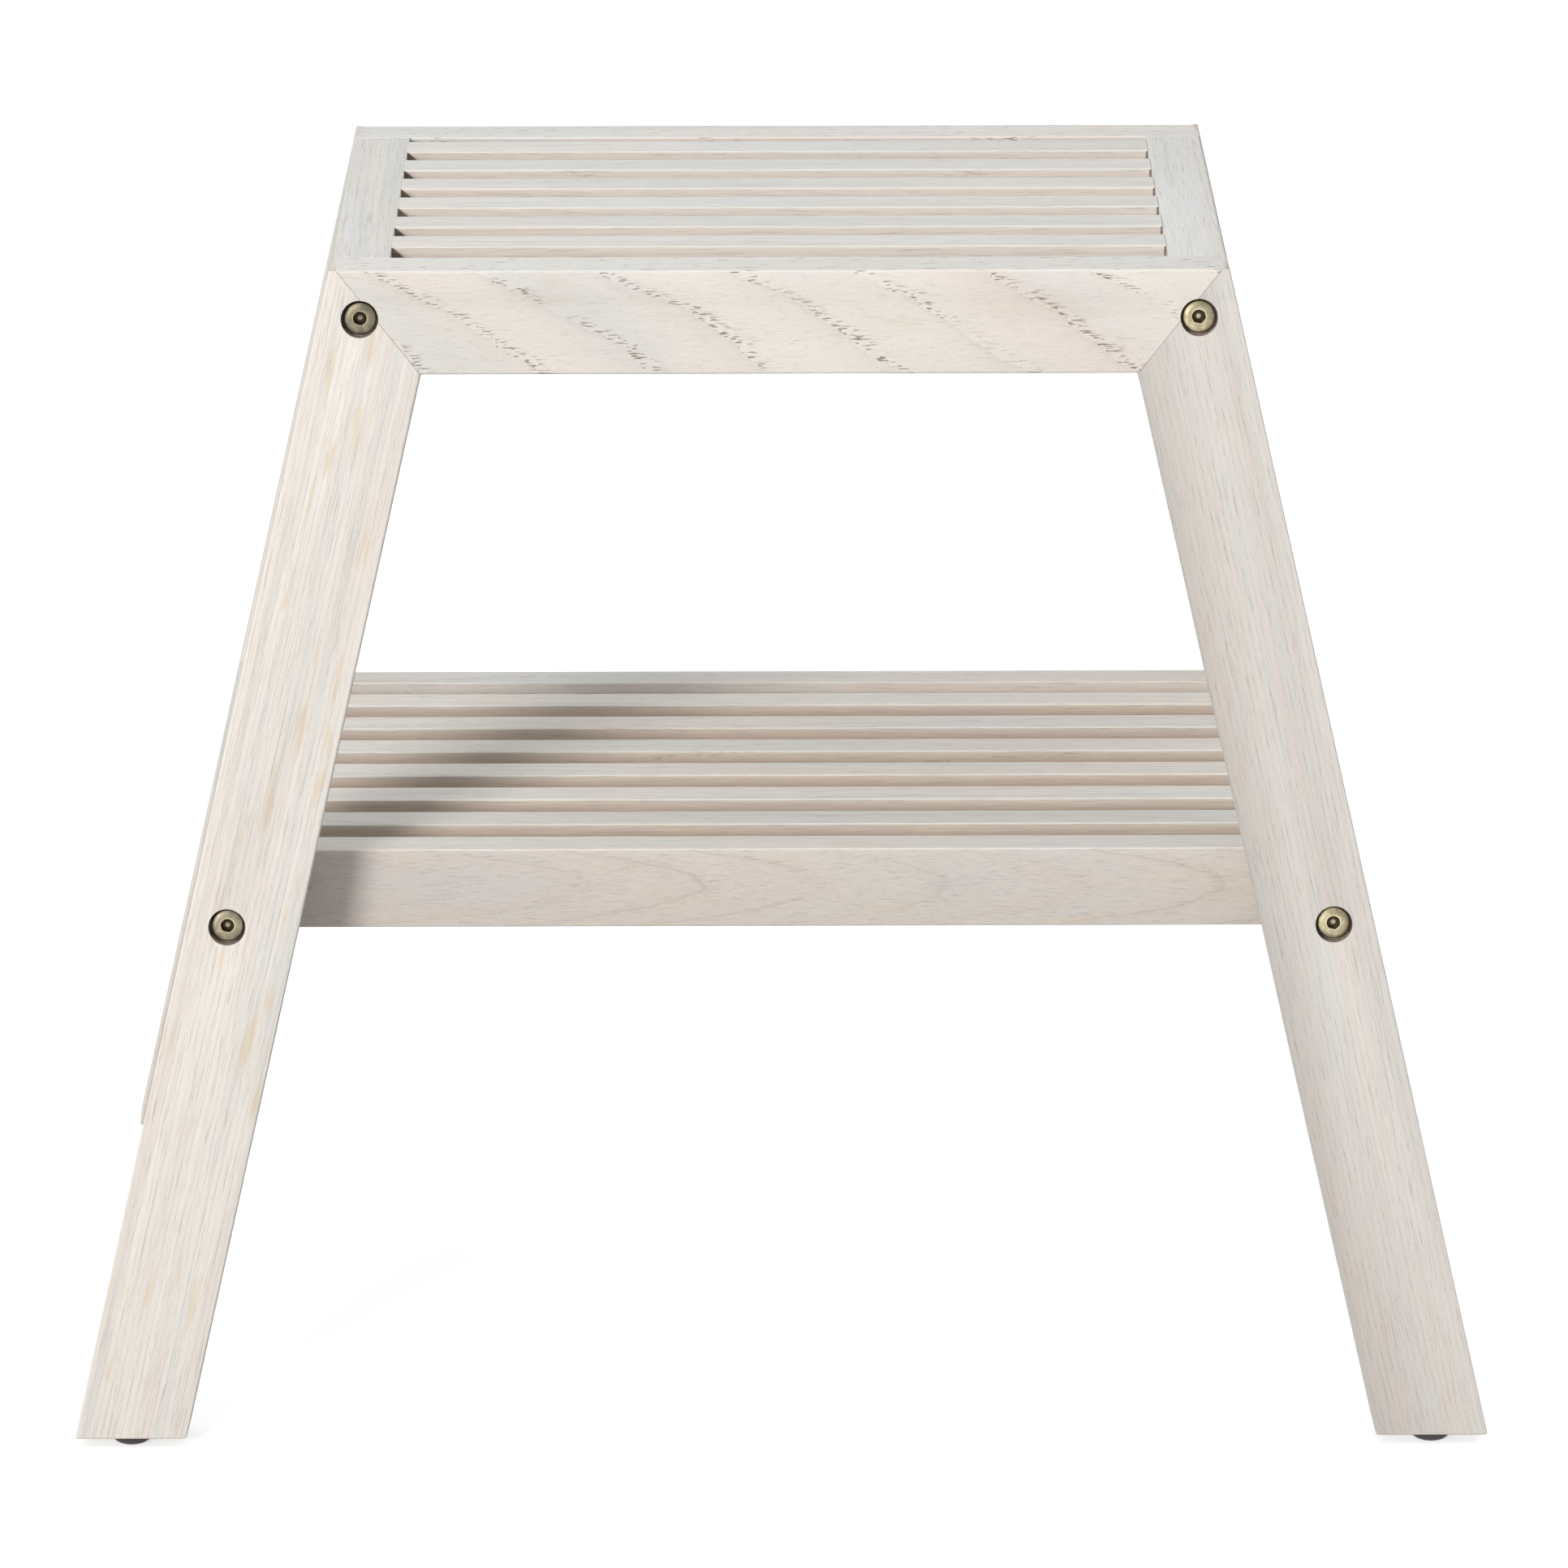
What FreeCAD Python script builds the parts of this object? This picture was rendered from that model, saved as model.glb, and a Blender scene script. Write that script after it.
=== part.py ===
import FreeCAD, Part
import os
import re
import Sketcher

# A slatted entryway bench with a lower shelf, in millimetres.
#
# Two flat frames, each a pair of splayed legs mitred to an apron, lean towards each other at the top.
# End boards span between the frames at seat and shelf height and are bolted to them with barrel nuts.
# The slats and the shelf rails are tenoned into the end boards.
#
# The origin is on the floor under the middle of the bench: +X is to the right, -Y is the front, +Z is up.

document = FreeCAD.newDocument("EntrywayBench")

# ---- Driving dimensions -------------------------------------------------------------------------

sheet = document.addObject("Spreadsheet::Sheet", "Sizes")

DRIVING_SIZES = {
    "foot_span": 546.5,         # across the outer edges of a frame's feet
    "foot_depth": 342.5,        # between the outer faces of the two frames, at the feet
    "top_span": 338,            # across a frame's upper edge, on its outer face
    "frame_rise": 450,          # from the foot ends to the seat
    "lean": 8,                  # degrees that each frame leans inwards
    "frame_wide": 42,           # legs and aprons are one stock: width
    "frame_thick": 19,          # and thickness
    "end_tall": 42,             # end boards: height
    "end_top_wide": 21.5,       # and width along the upper edge
    "slat_wide": 16,
    "slat_tall": 20,
    "slat_count": 6,
    "seat_slat_pitch": 28.2,
    "seat_slat_shift": 4.4,     # the seat slats sit this much nearer to the rear frame
    "shelf_rise": 219,          # from the foot ends to the shelf
    "shelf_slat_wide": 15,
    "shelf_slat_pitch": 28.5,
    "rail_tall": 32,
    "tenon_thick": 8,
    "tenon_inset": 4,           # shoulder above and below a tenon
    "tenon_long": 10,
    "mortise_room": 0.5,        # glue space past a tenon's end
    "bolt_edge": 15.6,          # from a frame's outer edge to a bolt's axis
    "bolt_thick": 6,
    "bolt_hole": 6.5,
    "bolt_long": 52,            # shank under the head
    "head_wide": 12.5,
    "head_tall": 3,
    "head_bevel": 0.8,
    "socket_flats": 4,          # hexagon key size
    "socket_deep": 2,
    "counterbore_wide": 14,
    "counterbore_deep": 6,
    "nut_wide": 10,
    "nut_long": 16,
    "nut_setback": 34,          # from an end board's end to its nut's axis
    "nut_slot_wide": 1.5,
    "nut_slot_deep": 1.5,
    "bore_spare": 8,            # a bolt's bore goes this far past its nut's axis
    "dowel_wide": 6,
    "dowel_long": 16,
    "dowel_outer": 15,          # along the mitre from its outer corner to the first dowel
    "dowel_inner": 42,          # and to the second
    "glide_wide": 16,
    "glide_tall": 4,
    "glide_round": 3,           # radius of its lower rim
    "glide_nail_wide": 2.5,
    "glide_nail_long": 14,
    "spare": 5,                 # how far a cutting shape runs past the wood
}

for row, (name, size) in enumerate(DRIVING_SIZES.items(), start=1):
    sheet.set(f"A{row}", name)
    sheet.set(f"B{row}", str(size))
    sheet.setAlias(f"B{row}", name)
document.recompute()

# Lengths that follow from the driving ones. "up" and "along" are measured in a frame's own plane,
# and "rise" is measured vertically from the foot ends.
WORKED_OUT = {
    "splay": "((foot_span - top_span) / (2 * frame_rise))",
    "taper": "(splay * cos(lean))",
    "leg_across": "(frame_wide * sqrt(1 + taper * taper))",
    "bevel_up": "(frame_thick * tan(lean))",
    "frame_up": "(frame_rise / cos(lean) + bevel_up)",
    "mitre_up": "(frame_up - frame_wide)",
    "corner_across": "(foot_span / 2 - frame_up * taper)",
    "mitre_across": "(foot_span / 2 - mitre_up * taper - leg_across)",
    "seat_bolt_up": "(frame_up - frame_wide / 2)",
    "shelf_bolt_up": "((shelf_rise - end_tall / 2 + frame_thick * sin(lean)) / cos(lean))",
    "face_drop": "(frame_thick * sin(lean))",
    "end_low_wide": "(end_top_wide + end_tall * splay)",
    "tenon_tall": "(slat_tall - 2 * tenon_inset)",
}


def bound(formula):
    """The formula with every worked-out length expanded and every driving size naming its cell."""
    word = re.compile("|".join(rf"\b{name}\b" for name in WORKED_OUT))
    while word.search(formula):
        formula = word.sub(lambda found: WORKED_OUT[found.group()], formula)
    return re.sub("|".join(rf"\b{name}\b" for name in DRIVING_SIZES), r"Sizes.\g<0>", formula)


def value(formula):
    """The formula's value, in millimetres."""
    return float(sheet.evalExpression(bound(formula)))


# ---- Modelling helpers --------------------------------------------------------------------------

SUBPARTS = []


def new_body(name):
    body = document.addObject("PartDesign::Body", name)
    body.Label = name
    SUBPARTS.append(body)
    return body


def new_sketch(body, name, plane):
    """A sketch lying on one of the body's own origin planes."""
    sketch = body.newObject("Sketcher::SketchObject", f"{body.Label}_{name}")
    support = next(each for each in body.Origin.OriginFeatures if each.Role == plane)
    sketch.AttachmentSupport = [(support, "")]
    sketch.MapMode = "FlatFace"
    return sketch


def pin_point(sketch, edge, end, across, up):
    """Holds one end of an edge at (across, up) from the sketch's origin with bound dimensions."""
    for kind, axis, formula in (("DistanceX", -2, across), ("DistanceY", -1, up)):
        size = value(formula)
        if abs(size) < 1e-9:
            sketch.addConstraint(Sketcher.Constraint("PointOnObject", edge, end, axis))
            continue
        ends = (-1, 1, edge, end) if size > 0 else (edge, end, -1, 1)
        index = sketch.addConstraint(Sketcher.Constraint(kind, *ends, abs(size)))
        sketch.setExpression(f"Constraints[{index}]", bound(formula if size > 0 else f"-({formula})"))


def draw_outline(sketch, corners):
    """A closed outline through corners, each a pair of formulas. Every corner is fully held."""
    places = [FreeCAD.Vector(value(across), value(up), 0) for across, up in corners]
    count = len(corners)
    first = sketch.GeometryCount
    for index in range(count):
        sketch.addGeometry(Part.LineSegment(places[index], places[(index + 1) % count]), False)
    for index in range(count):
        following = first + (index + 1) % count
        sketch.addConstraint(Sketcher.Constraint("Coincident", first + index, 2, following, 1))
    for index, (across, up) in enumerate(corners):
        pin_point(sketch, first + index, 1, across, up)


def draw_rectangle(sketch, left, right, low, high):
    draw_outline(sketch, [(left, low), (right, low), (right, high), (left, high)])


def draw_circle(sketch, across, up, wide):
    centre = FreeCAD.Vector(value(across), value(up), 0)
    edge = sketch.addGeometry(Part.Circle(centre, FreeCAD.Vector(0, 0, 1), value(wide) / 2), False)
    pin_point(sketch, edge, 3, across, up)
    index = sketch.addConstraint(Sketcher.Constraint("Diameter", edge, value(wide)))
    sketch.setExpression(f"Constraints[{index}]", bound(wide))


def pad(body, name, sketch, length, side="One side", backwards=False):
    feature = body.newObject("PartDesign::Pad", f"{body.Label}_{name}")
    feature.Profile = sketch
    feature.SideType = side
    feature.Reversed = backwards
    feature.setExpression("Length", bound(length))
    document.recompute()
    return feature


def turn_round(body, profile):
    """Revolves a half section about the sketch's upright axis."""
    feature = body.newObject("PartDesign::Revolution", f"{body.Label}_turned")
    feature.Profile = profile
    feature.ReferenceAxis = (profile, ["V_Axis"])
    feature.Angle = 360
    document.recompute()
    return feature


def check_cut(body, volume, feature):
    """Stops the build if a cutting feature took nothing away."""
    document.recompute()
    if not feature.Shape.Volume < volume - 1e-3:
        raise RuntimeError(f"{feature.Name} cuts nothing")
    return feature


def cut_through(body, name, sketch):
    """Cuts the sketch's outline through the whole body, both ways from the sketch."""
    volume = body.Shape.Volume
    feature = body.newObject("PartDesign::Pocket", f"{body.Label}_{name}")
    feature.Profile = sketch
    feature.Type = "ThroughAll"
    feature.SideType = "Symmetric"
    return check_cut(body, volume, feature)


def cut_deep(body, name, sketch, depth, side="One side", backwards=False):
    """Cuts the sketch's outline to a depth from the sketch."""
    volume = body.Shape.Volume
    feature = body.newObject("PartDesign::Pocket", f"{body.Label}_{name}")
    feature.Profile = sketch
    feature.SideType = side
    feature.Reversed = backwards
    feature.setExpression("Length", bound(depth))
    return check_cut(body, volume, feature)


def bore(body, name, wide, long, place):
    """Drills a round bore from place, whose local +Z is the drilling direction."""
    volume = body.Shape.Volume
    feature = body.newObject("PartDesign::SubtractiveCylinder", f"{body.Label}_{name}")
    feature.setExpression("Radius", bound(f"({wide}) / 2"))
    feature.setExpression("Height", bound(long))
    feature.Placement = place
    return check_cut(body, volume, feature)


def placed(x, y, z, turn=None):
    """A placement at three formulas, turned by a rotation."""
    return FreeCAD.Placement(FreeCAD.Vector(value(x), value(y), value(z)), turn or FreeCAD.Rotation())


def about(axis, degrees):
    return FreeCAD.Rotation(FreeCAD.Vector(*axis), degrees)


X_AXIS = (1, 0, 0)
Y_AXIS = (0, 1, 0)
Z_AXIS = (0, 0, 1)
HALF_TURN = about(Z_AXIS, 180)
LEAN = about(X_AXIS, -value("lean"))

# A frame is drawn upright with its outer face on Y = 0 and the wood behind it, then leant.
# The rear frame is the front one turned half way round, so its left side is the front one's right.
FRAME_PLACES = {
    "front": placed("0", "-foot_depth / 2", "glide_tall", LEAN),
    "rear": placed("0", "foot_depth / 2", "glide_tall", HALF_TURN.multiply(LEAN)),
}
SIDE_SIGNS = {"left": "-1", "right": "1"}


def frame_side(end, side):
    """The sign of a leg's side in its frame's own drawing."""
    sign = SIDE_SIGNS[side]
    return sign if end == "front" else f"(-{sign})"


# ---- Frames: legs and aprons --------------------------------------------------------------------


def bevel_frame_board(body):
    """Planes the frame's top and foot level, across the thickness of the leaning board."""
    sketch = new_sketch(body, "level_bevels", "YZ_Plane")
    front, rear = "-spare", "(frame_thick + spare)"
    top_front = "(frame_rise / cos(lean) - spare * tan(lean))"
    top_rear = "(frame_up + spare * tan(lean))"
    draw_outline(sketch, [(front, top_front), (rear, top_rear), (front, top_rear)])
    foot_front = "(-spare * tan(lean))"
    foot_rear = "((frame_thick + spare) * tan(lean))"
    draw_outline(sketch, [(front, foot_front), (rear, foot_front), (rear, foot_rear)])
    cut_through(body, "bevelled", sketch)


def bolt_across(up):
    return f"(foot_span / 2 - ({up}) * taper - bolt_edge)"


def bolt_recess(body, name, across, up, wide, deep):
    """A round recess or hole square to the outer face, on a bolt's axis."""
    sketch = new_sketch(body, name, "XZ_Plane")
    draw_circle(sketch, across, up, wide)
    cut_deep(body, f"{name}_cut", sketch, deep)


def mitre_dowel_place(sign, along):
    """Where a dowel crosses the mitre, square to it and in the middle of the thickness."""
    start = FreeCAD.Vector(value("corner_across"), 0, value("frame_up"))
    finish = FreeCAD.Vector(value("mitre_across"), 0, value("mitre_up"))
    direction = (finish - start).normalize()
    middle = start + direction * value(along)
    middle.y = value("frame_thick / 2")
    square = FreeCAD.Vector(-direction.z, 0, direction.x)
    begin = middle - square * (value("dowel_long") / 2)
    side = int(value(sign))
    begin.x *= side
    square.x *= side
    return FreeCAD.Placement(begin, FreeCAD.Rotation(FreeCAD.Vector(*Z_AXIS), square))


def bore_dowels(body, sign):
    for label, along in (("outer", "dowel_outer"), ("inner", "dowel_inner")):
        bore(body, f"{label}_dowel_hole_{int(value(sign)) + 1}", "dowel_wide", "dowel_long",
             mitre_dowel_place(sign, along))


def build_leg(end, side):
    body = new_body(f"{end}_{side}_leg")
    sign = frame_side(end, side)
    sketch = new_sketch(body, "outline", "XZ_Plane")
    draw_outline(sketch, [
        (f"{sign} * foot_span / 2", "0"),
        (f"{sign} * (foot_span / 2 - leg_across)", "0"),
        (f"{sign} * mitre_across", "mitre_up"),
        (f"{sign} * corner_across", "frame_up"),
    ])
    pad(body, "board", sketch, "frame_thick", backwards=True)
    bevel_frame_board(body)
    for level in ("seat", "shelf"):
        up = f"{level}_bolt_up"
        across = f"{sign} * {bolt_across(up)}"
        bolt_recess(body, f"{level}_bolt_clearance", across, up, "bolt_hole", "(frame_thick + spare)")
        bolt_recess(body, f"{level}_bolt_counterbore", across, up, "counterbore_wide",
                    "counterbore_deep")
    bore_dowels(body, sign)
    nail_middle = "foot_span / 2 - leg_across / 2"
    bore(body, "nail_hole", "glide_nail_wide", "glide_nail_long",
         placed(f"{sign} * ({nail_middle})", "frame_thick / 2", "frame_thick / 2 * tan(lean)",
                LEAN.inverted()))
    body.Placement = FRAME_PLACES[end]


def build_apron(end):
    body = new_body(f"{end}_apron")
    sketch = new_sketch(body, "outline", "XZ_Plane")
    draw_outline(sketch, [
        ("-corner_across", "frame_up"),
        ("-mitre_across", "mitre_up"),
        ("mitre_across", "mitre_up"),
        ("corner_across", "frame_up"),
    ])
    pad(body, "board", sketch, "frame_thick", backwards=True)
    bevel_frame_board(body)
    for side, sign in SIDE_SIGNS.items():
        # The bolt stands in the leg, and its counterbore runs across the mitre into the apron.
        bolt_recess(body, f"{side}_bolt_counterbore", f"{sign} * {bolt_across('seat_bolt_up')}",
                    "seat_bolt_up", "counterbore_wide", "counterbore_deep")
        bore_dowels(body, sign)
    body.Placement = FRAME_PLACES[end]


for frame_end in ("front", "rear"):
    for frame_edge in ("left", "right"):
        build_leg(frame_end, frame_edge)
    build_apron(frame_end)

# ---- End boards ---------------------------------------------------------------------------------
# An end board is drawn with its upper face on Z = 0, at its true place in X and Y.

LEVELS = {
    "seat": {"rise": "frame_rise", "wide": "slat_wide", "pitch": "seat_slat_pitch",
             "shift": "seat_slat_shift"},
    "shelf": {"rise": "shelf_rise", "wide": "shelf_slat_wide", "pitch": "shelf_slat_pitch",
              "shift": "0"},
}


def inner_depth(rise):
    """Half the depth between the frames' inner faces at a height above the foot ends."""
    return f"(foot_depth / 2 - ({rise}) * tan(lean) - frame_thick / cos(lean))"


def outer_across(rise):
    """Half the width over the legs' outer edges at their inner faces, at a height."""
    return f"(foot_span / 2 - (({rise}) + face_drop) * splay)"


def inner_across(level):
    """Half the width between the end boards at a level: where the slats' shoulders are."""
    return f"({outer_across(LEVELS[level]['rise'])} - end_top_wide)"


def slat_middle(level, index):
    """The Y of a slat's middle, counted from the front."""
    size = LEVELS[level]
    return f"(({index} - (slat_count - 1) / 2) * {size['pitch']} + {size['shift']})"


def rail_middle(sign):
    """The Y of a shelf rail's middle: one more pitch beyond the last slat."""
    return f"({sign} * (slat_count + 1) / 2 * shelf_slat_pitch)"


def cut_mortises(body, name, sign, shoulder, middles):
    """Rectangular mortises in an end board's inner face, for tenons at these middles."""
    for number, middle in enumerate(middles, start=1):
        sketch = new_sketch(body, f"{name}_{number}_mortise", "YZ_Plane")
        sketch.AttachmentOffset = placed("0", "0", f"{sign} * {shoulder}")
        draw_rectangle(sketch, f"{middle} - tenon_thick / 2", f"{middle} + tenon_thick / 2",
                       "-tenon_inset - tenon_tall", "-tenon_inset")
        cut_deep(body, f"{name}_{number}_mortised", sketch, "tenon_long + mortise_room",
                 backwards=sign == "1")


def bolt_line(level, side, end):
    """A placement on a bolt's axis at the frame's outer face, with +Z pointing into the wood."""
    up = f"{level}_bolt_up"
    sign = frame_side(end, side)
    local = placed(f"{sign} * {bolt_across(up)}", "0", up, about(X_AXIS, -90))
    return FRAME_PLACES[end].multiply(local)


def along_bolt(level, side, end, distance):
    """The bolt's axis placement, moved a distance into the wood."""
    return bolt_line(level, side, end).multiply(placed("0", "0", distance))


NUT_DISTANCE = "(frame_thick + nut_setback)"


def build_end_board(level, side):
    body = new_body(f"{level}_{side}_end_board")
    sign = SIDE_SIGNS[side]
    rise = LEVELS[level]["rise"]
    shoulder = inner_across(level)
    sketch = new_sketch(body, "length", "YZ_Plane")
    sketch.AttachmentOffset = placed("0", "0", f"{sign} * {shoulder}")
    top_half = inner_depth(rise)
    low_half = inner_depth(f"{rise} - end_tall")
    draw_outline(sketch, [(f"-{top_half}", "0"), (top_half, "0"),
                          (low_half, "-end_tall"), (f"-{low_half}", "-end_tall")])
    pad(body, "board", sketch, "end_low_wide", backwards=sign == "-1")

    slope = new_sketch(body, "outer_slope", "XZ_Plane")
    top = f"({shoulder} + end_top_wide - spare * splay)"
    low = f"({shoulder} + end_low_wide + spare * splay)"
    draw_outline(slope, [(f"{sign} * {top}", "spare"), (f"{sign} * {low}", "spare"),
                         (f"{sign} * {low}", "-end_tall - spare")])
    cut_through(body, "splayed", slope)

    middles = [slat_middle(level, index) for index in range(int(value("slat_count")))]
    cut_mortises(body, "slat", sign, shoulder, middles)
    if level == "shelf":
        cut_mortises(body, "rail", sign, shoulder, [rail_middle("-1"), rail_middle("1")])
    body.Placement = placed("0", "0", f"glide_tall + {rise}")

    for end in FRAME_PLACES:
        axis = body.Placement.inverse().multiply(along_bolt(level, side, end, "frame_thick - spare"))
        bore(body, f"{end}_bolt_bore", "bolt_hole", "spare + nut_setback + bore_spare", axis)
        nut = body.Placement.inverse().multiply(along_bolt(level, side, end, NUT_DISTANCE)).Base
        toward = about(Y_AXIS, 90 * int(value(sign)))
        nut_bore = f"{bolt_across(f'{level}_bolt_up')} - {shoulder} + nut_long / 2"
        start = FreeCAD.Vector(value(f"{sign} * {shoulder}"), nut.y, nut.z)
        bore(body, f"{end}_nut_bore", "nut_wide", nut_bore, FreeCAD.Placement(start, toward))


for board_level in LEVELS:
    for board_side in SIDE_SIGNS:
        build_end_board(board_level, board_side)

# ---- Slats and rails ----------------------------------------------------------------------------


def build_tenoned_bar(name, level, middle, wide, tall):
    """A bar between the end boards, drawn with its upper face on Z = 0, with a tenon at each end."""
    body = new_body(name)
    length = f"2 * {inner_across(level)}"
    section = new_sketch(body, "section", "YZ_Plane")
    draw_rectangle(section, f"-{wide} / 2", f"{wide} / 2", f"-{tall}", "0")
    pad(body, "bar", section, length, side="Symmetric")
    tenons = new_sketch(body, "tenons", "YZ_Plane")
    draw_rectangle(tenons, "-tenon_thick / 2", "tenon_thick / 2", "-tenon_inset - tenon_tall",
                   "-tenon_inset")
    pad(body, "tenoned", tenons, f"{length} + 2 * tenon_long", side="Symmetric")
    body.Placement = placed("0", middle, f"glide_tall + {LEVELS[level]['rise']}")


for bar_level, bar in LEVELS.items():
    for slat in range(int(value("slat_count"))):
        build_tenoned_bar(f"{bar_level}_slat_{slat + 1}", bar_level, slat_middle(bar_level, slat),
                          bar["wide"], "slat_tall")

for rail_end, rail_sign in (("front", "-1"), ("rear", "1")):
    build_tenoned_bar(f"shelf_{rail_end}_rail", "shelf", rail_middle(rail_sign), "shelf_slat_wide",
                      "rail_tall")

# ---- Fasteners ----------------------------------------------------------------------------------


def build_bolt(level, side, end):
    """A flat-headed hexagon-socket bolt. Its head's underside is on Z = 0 and its shank runs to +Z."""
    body = new_body(f"{level}_bolt_{end}_{side}")
    profile = new_sketch(body, "half_section", "XZ_Plane")
    draw_outline(profile, [
        ("0", "-head_tall"),
        ("head_wide / 2 - head_bevel", "-head_tall"),
        ("head_wide / 2", "-head_tall + head_bevel"),
        ("head_wide / 2", "0"),
        ("bolt_thick / 2", "0"),
        ("bolt_thick / 2", "bolt_long"),
        ("0", "bolt_long"),
    ])
    turn_round(body, profile)
    socket = new_sketch(body, "socket", "XY_Plane")
    socket.AttachmentOffset = placed("0", "0", "-head_tall")
    corner, slant, flat = "socket_flats / sqrt(3)", "socket_flats / sqrt(12)", "socket_flats / 2"
    draw_outline(socket, [
        (corner, "0"),
        (slant, flat),
        (f"-{slant}", flat),
        (f"-{corner}", "0"),
        (f"-{slant}", f"-{flat}"),
        (slant, f"-{flat}"),
    ])
    cut_deep(body, "socketed", socket, "socket_deep", backwards=True)
    body.Placement = along_bolt(level, side, end, "counterbore_deep")


def build_barrel_nut(level, side, end):
    """A cross dowel nut: a slotted pin lying along X with the bolt's hole through its middle."""
    body = new_body(f"{level}_barrel_nut_{end}_{side}")
    section = new_sketch(body, "section", "YZ_Plane")
    draw_circle(section, "0", "0", "nut_wide")
    pad(body, "pin", section, "nut_long", side="Symmetric")
    hole = new_sketch(body, "bolt_hole", "XZ_Plane")
    draw_circle(hole, "0", "0", "bolt_thick")
    cut_through(body, "holed", hole)
    slot = new_sketch(body, "driver_slot", "XY_Plane")
    inward = "-1" if side == "right" else "1"
    draw_rectangle(slot, f"{inward} * nut_long / 2 - nut_slot_deep",
                   f"{inward} * nut_long / 2 + nut_slot_deep",
                   "-nut_wide", "nut_wide")
    cut_deep(body, "slotted", slot, "nut_slot_wide", side="Symmetric")
    tilt = -value("lean") if end == "front" else value("lean")
    middle = along_bolt(level, side, end, NUT_DISTANCE).Base
    body.Placement = FreeCAD.Placement(middle, about(X_AXIS, tilt))


def build_dowel(end, side, label, along):
    body = new_body(f"mitre_dowel_{end}_{side}_{label}")
    section = new_sketch(body, "section", "XY_Plane")
    draw_circle(section, "0", "0", "dowel_wide")
    pad(body, "peg", section, "dowel_long")
    body.Placement = FRAME_PLACES[end].multiply(mitre_dowel_place(frame_side(end, side), along))


def build_glide(end, side):
    """A domed nail-on glide under a foot. Its upper face is on Z = 0 and its nail runs up."""
    body = new_body(f"glide_{end}_{side}")
    profile = new_sketch(body, "half_section", "XZ_Plane")
    draw_outline(profile, [
        ("0", "-glide_tall"),
        ("glide_wide / 2", "-glide_tall"),
        ("glide_wide / 2", "0"),
        ("glide_nail_wide / 2", "0"),
        ("glide_nail_wide / 2", "glide_nail_long"),
        ("0", "glide_nail_long"),
    ])
    turned = turn_round(body, profile)
    lower_rim = next(f"Edge{number}" for number, edge in enumerate(turned.Shape.Edges, start=1)
                     if edge.BoundBox.ZMax < -value("glide_tall") + 1e-6 and edge.isClosed())
    dome = body.newObject("PartDesign::Fillet", f"{body.Label}_domed")
    dome.Base = (turned, [lower_rim])
    dome.setExpression("Radius", bound("glide_round"))
    depth = "(foot_depth / 2 - frame_thick / cos(lean) / 2)"
    body.Placement = placed(f"{SIDE_SIGNS[side]} * (foot_span / 2 - leg_across / 2)",
                            f"-{depth}" if end == "front" else depth, "glide_tall")


for fastener_end in FRAME_PLACES:
    for fastener_side in SIDE_SIGNS:
        for fastener_level in LEVELS:
            build_bolt(fastener_level, fastener_side, fastener_end)
            build_barrel_nut(fastener_level, fastener_side, fastener_end)
        build_dowel(fastener_end, fastener_side, "outer", "dowel_outer")
        build_dowel(fastener_end, fastener_side, "inner", "dowel_inner")
        build_glide(fastener_end, fastener_side)

# ---- Checks and export --------------------------------------------------------------------------

document.recompute()
for each in document.Objects:
    if "Invalid" in each.State or "Error" in each.State:
        raise RuntimeError(f"{each.Name} failed to build: {each.State}")
for subpart in SUBPARTS:
    if subpart.Shape.isNull() or not subpart.Shape.isValid() or len(subpart.Shape.Solids) != 1:
        raise RuntimeError(f"{subpart.Label} isn't one valid solid")

os.makedirs("parts", exist_ok=True)
for subpart in SUBPARTS:
    subpart.Shape.exportStep(f"parts/{subpart.Label}.step")
print(f"{len(SUBPARTS)} sub-parts written")
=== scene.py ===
# %% [markdown]
# # A whitewashed entryway bench
#
# This lesson dresses a finished CAD bench. The bench is two flat frames that lean towards each
# other, joined by end boards, with a slatted seat and a slatted shelf. Nothing on it moves.
# The CAD model gives every piece its place and size, so each mesh here starts from a CAD node
# and gains what a CAD model leaves out: eased edges, hairline joints, grain, wash and patina.

# %% Load the frame
import math
import random

import bmesh
import bpy
from mathutils import Matrix, Vector


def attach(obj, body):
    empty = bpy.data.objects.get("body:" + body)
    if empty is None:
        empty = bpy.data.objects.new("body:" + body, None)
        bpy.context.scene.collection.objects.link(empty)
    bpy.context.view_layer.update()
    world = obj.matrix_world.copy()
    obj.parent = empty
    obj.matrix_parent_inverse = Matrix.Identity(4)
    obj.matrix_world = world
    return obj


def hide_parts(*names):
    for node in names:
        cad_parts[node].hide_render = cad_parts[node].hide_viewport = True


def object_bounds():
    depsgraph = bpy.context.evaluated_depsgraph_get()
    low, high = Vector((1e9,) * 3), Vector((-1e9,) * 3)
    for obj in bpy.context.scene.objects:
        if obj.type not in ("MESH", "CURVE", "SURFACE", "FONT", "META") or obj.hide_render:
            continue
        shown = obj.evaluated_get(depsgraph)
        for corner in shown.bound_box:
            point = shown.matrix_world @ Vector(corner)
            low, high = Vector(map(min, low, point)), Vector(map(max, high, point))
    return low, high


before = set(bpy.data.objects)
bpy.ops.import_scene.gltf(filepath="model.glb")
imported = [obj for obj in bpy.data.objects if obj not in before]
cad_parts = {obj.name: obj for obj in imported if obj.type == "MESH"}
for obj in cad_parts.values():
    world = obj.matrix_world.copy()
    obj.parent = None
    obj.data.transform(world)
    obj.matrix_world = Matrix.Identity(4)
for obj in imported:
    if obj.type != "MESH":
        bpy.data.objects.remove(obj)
cad_low, cad_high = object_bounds()
print("CAD box:", [round(v, 4) for v in cad_high - cad_low])

# %% [markdown]
# ## Camera
#
# Furniture is usually shown from far away through a long lens, so that the lines of the bench
# stay nearly parallel. The camera stands just under three metres in front of the bench, a
# centimetre to the left of its middle, and looks down at it. Three small angles aim it: a pan
# towards the middle of the bench, a pitch towards the floor and a very slight roll.

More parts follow.
